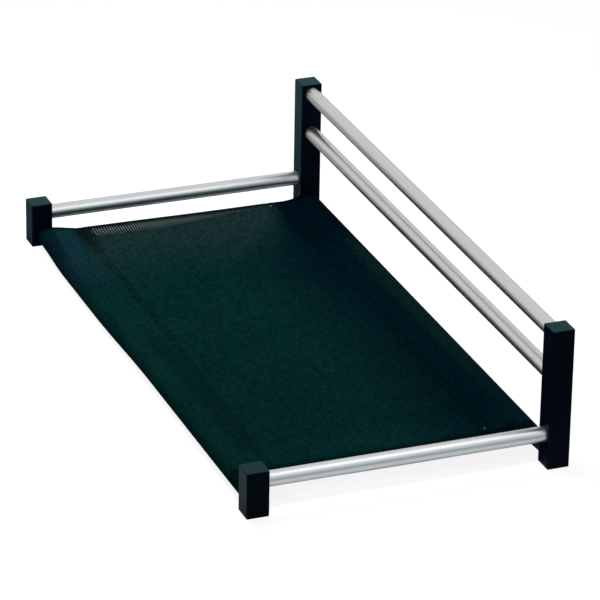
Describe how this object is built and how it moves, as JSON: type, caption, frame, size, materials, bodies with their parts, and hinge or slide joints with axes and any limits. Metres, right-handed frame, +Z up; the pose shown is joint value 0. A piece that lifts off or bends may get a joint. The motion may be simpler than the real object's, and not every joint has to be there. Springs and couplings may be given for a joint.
{
  "type": "raised sling bed for a cat",
  "caption": "Long low sling bed for a cat: mesh cloth stretched between tubes in square corner posts, with a two-rail guard along one side.",
  "frame": {"origin": "on the floor, under the middle of the bed", "axes": "+Z up; +X from the low side, where the cat steps on, to the tall side with its two rails; +Y along the bed from the front end to the back end"},
  "size_m": [0.43, 0.888, 0.19],
  "materials": {
    "post_plastic": "near-black moulded plastic, satin, with softly rounded edges",
    "tube_aluminium": "satin drawn aluminium tube, fine lines along its length",
    "screw_steel": "zinc-plated pan-head tapping screw",
    "sling_mesh": "black coated polyester mesh, a tight open weave, with sewn sleeves"
  },
  "bodies": {
    "root": {"front_low_post": "post_plastic", "back_low_post": "post_plastic", "front_tall_post": "post_plastic", "back_tall_post": "post_plastic", "front_end_tube": "tube_aluminium", "back_end_tube": "tube_aluminium", "low_side_sling_tube": "tube_aluminium", "tall_side_sling_tube": "tube_aluminium", "low_rail": "tube_aluminium", "top_rail": "tube_aluminium", "front_low_foot_screw": "screw_steel", "back_low_foot_screw": "screw_steel", "front_tall_foot_screw": "screw_steel", "back_tall_foot_screw": "screw_steel", "front_low_rail_screw": "screw_steel", "back_low_rail_screw": "screw_steel", "front_top_rail_screw": "screw_steel", "back_top_rail_screw": "screw_steel", "sling_cloth": "sling_mesh"}
  },
  "joints": []
}
